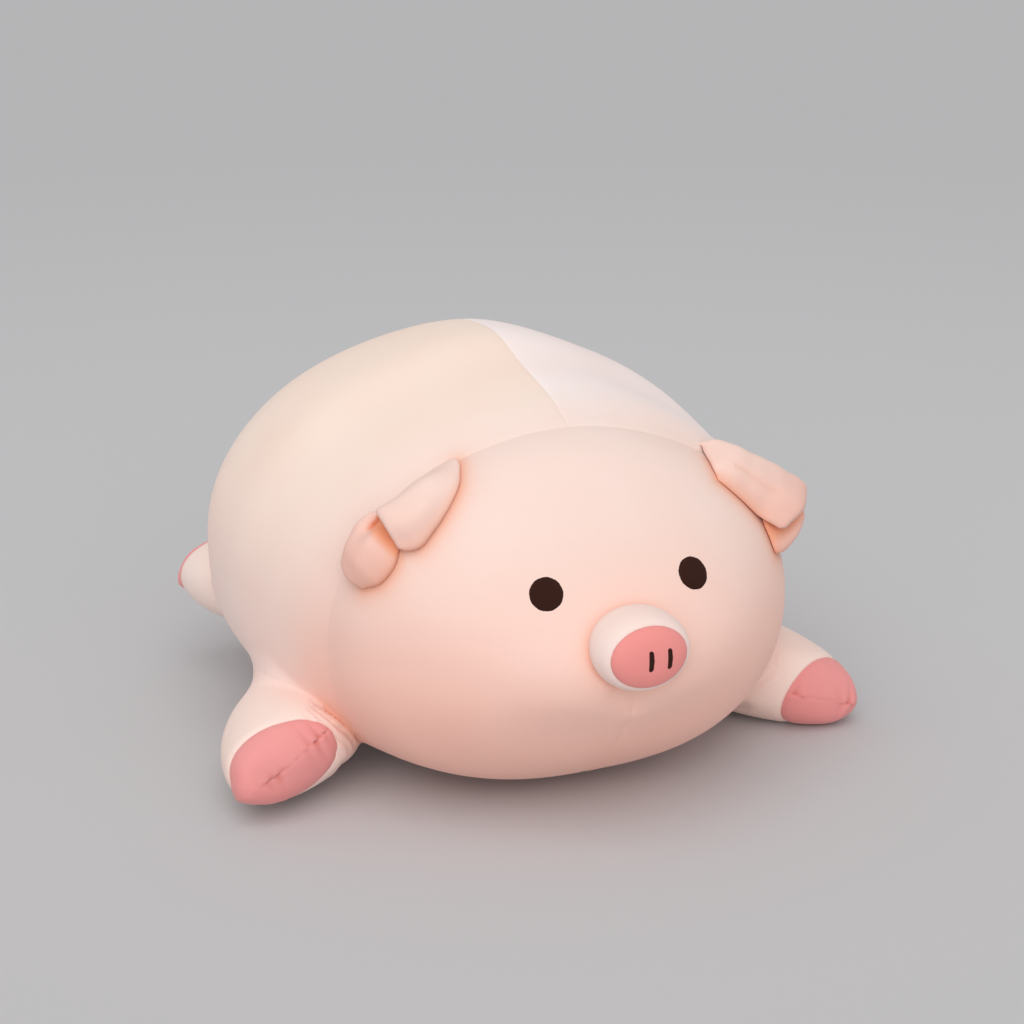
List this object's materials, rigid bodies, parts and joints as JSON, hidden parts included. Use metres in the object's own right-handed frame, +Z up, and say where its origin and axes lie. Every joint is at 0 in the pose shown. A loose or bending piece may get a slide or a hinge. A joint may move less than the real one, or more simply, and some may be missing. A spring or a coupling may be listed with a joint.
{
  "type": "plush pig",
  "caption": "Pig-shaped stuffed cushion lying on its belly, with a round body, splayed stub legs, folded ears, domed snout and embroidered eyes.",
  "frame": {"origin": "middle of the flat patch that the belly rests on", "axes": "+Z up; the pig looks along -Y, so +Y runs from its snout to its tail; +X to its left"},
  "size_m": [0.4652, 0.4874, 0.2797],
  "materials": {
    "peach_knit": "smooth brushed stretch knit, peach pink",
    "pink_knit": "smooth brushed stretch knit, rose pink",
    "fibre_stuffing": "loose polyester fibre, off-white",
    "dark_brown_thread": "satin embroidery thread, dark brown"
  },
  "bodies": {
    "torso": {"body_filling": "fibre_stuffing", "back_panel_left": "peach_knit", "back_panel_right": "peach_knit", "belly_panel": "peach_knit", "head_filling": "fibre_stuffing", "face_panel": "peach_knit", "snout_cover": "peach_knit", "snout_face": "pink_knit", "snout_filling": "fibre_stuffing", "nostril_left": "dark_brown_thread", "nostril_right": "dark_brown_thread", "eye_left": "dark_brown_thread", "eye_right": "dark_brown_thread"},
    "front_left_leg": {"front_left_leg_cover": "peach_knit", "front_left_toe_upper": "pink_knit", "front_left_toe_lower": "pink_knit", "front_left_leg_filling": "fibre_stuffing"},
    "front_right_leg": {"front_right_leg_cover": "peach_knit", "front_right_toe_upper": "pink_knit", "front_right_toe_lower": "pink_knit", "front_right_leg_filling": "fibre_stuffing"},
    "hind_left_leg": {"hind_left_leg_cover": "peach_knit", "hind_left_toe_upper": "pink_knit", "hind_left_toe_lower": "pink_knit", "hind_left_leg_filling": "fibre_stuffing"},
    "hind_right_leg": {"hind_right_leg_cover": "peach_knit", "hind_right_toe_upper": "pink_knit", "hind_right_toe_lower": "pink_knit", "hind_right_leg_filling": "fibre_stuffing"},
    "ear_left": {"ear_left_outer": "peach_knit", "ear_left_lining": "peach_knit"},
    "ear_right": {"ear_right_outer": "peach_knit", "ear_right_lining": "peach_knit"},
    "tail": {"tail": "peach_knit"}
  },
  "joints": [
    {"name": "front_left_leg_swing", "type": "hinge", "parent": "torso", "child": "front_left_leg", "pos_m": [0.15004, -0.012, 0.0368], "axis": [0, 0, 1], "range_deg": [-6, 14], "stiffness_Nm_per_rad": 0.3},
    {"name": "front_right_leg_swing", "type": "hinge", "parent": "torso", "child": "front_right_leg", "pos_m": [-0.15004, -0.012, 0.0368], "axis": [0, 0, -1], "range_deg": [-6, 14], "stiffness_Nm_per_rad": 0.3},
    {"name": "hind_left_leg_swing", "type": "hinge", "parent": "torso", "child": "hind_left_leg", "pos_m": [0.09504, 0.101, 0.073], "axis": [0, 0, -1], "range_deg": [-6, 14], "stiffness_Nm_per_rad": 0.3},
    {"name": "hind_right_leg_swing", "type": "hinge", "parent": "torso", "child": "hind_right_leg", "pos_m": [-0.09504, 0.101, 0.073], "axis": [0, 0, 1], "range_deg": [-6, 14], "stiffness_Nm_per_rad": 0.3},
    {"name": "ear_left_lift", "type": "hinge", "parent": "torso", "child": "ear_left", "pos_m": [0.12301, -0.10829, 0.20614], "axis": [-0.7408, -0.0702, 0.6681], "range_deg": [-2, 70], "stiffness_Nm_per_rad": 0.01},
    {"name": "ear_right_lift", "type": "hinge", "parent": "torso", "child": "ear_right", "pos_m": [-0.12301, -0.10829, 0.20614], "axis": [-0.7408, 0.0702, -0.6681], "range_deg": [-2, 70], "stiffness_Nm_per_rad": 0.01},
    {"name": "tail_wag", "type": "hinge", "parent": "torso", "child": "tail", "pos_m": [0, 0.21586, 0.16808], "axis": [0, 0, 1], "range_deg": [-20, 20], "stiffness_Nm_per_rad": 0.01}
  ]
}
